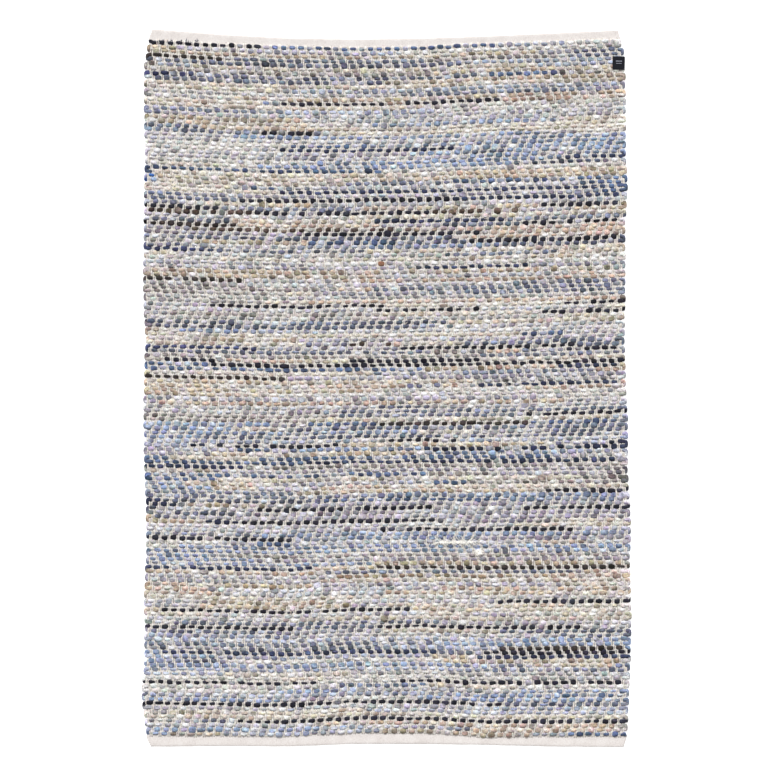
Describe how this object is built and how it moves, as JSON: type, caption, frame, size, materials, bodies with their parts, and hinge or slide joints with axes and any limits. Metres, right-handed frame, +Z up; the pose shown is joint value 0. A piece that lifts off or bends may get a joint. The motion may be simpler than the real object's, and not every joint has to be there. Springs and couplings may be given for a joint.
{
  "type": "flat-woven rag rug",
  "caption": "Flat-woven rag rug lying flat, with raised weft ribs, selvedges of turned strips, a narrow hem at each end and a small label folded round one selvedge.",
  "frame": {"origin": "on the floor under the middle of the bounding box", "axes": "+X across the rug to the selvedge that holds the label, +Y along it to the end near the label, +Z up from the floor"},
  "size_m": [1.2261, 1.795, 0.0106],
  "materials": {
    "rag_weave": "matt cut cotton strips in pale blue, lilac grey, cream, mid blue, slate and near black on a cream cotton warp, with cream cotton hems",
    "label_tape": "matt, tightly woven, near-black blue tape with plain pale bars"
  },
  "bodies": {
    "root": {"rug_cloth": "rag_weave", "woven_label": "label_tape"}
  },
  "joints": []
}
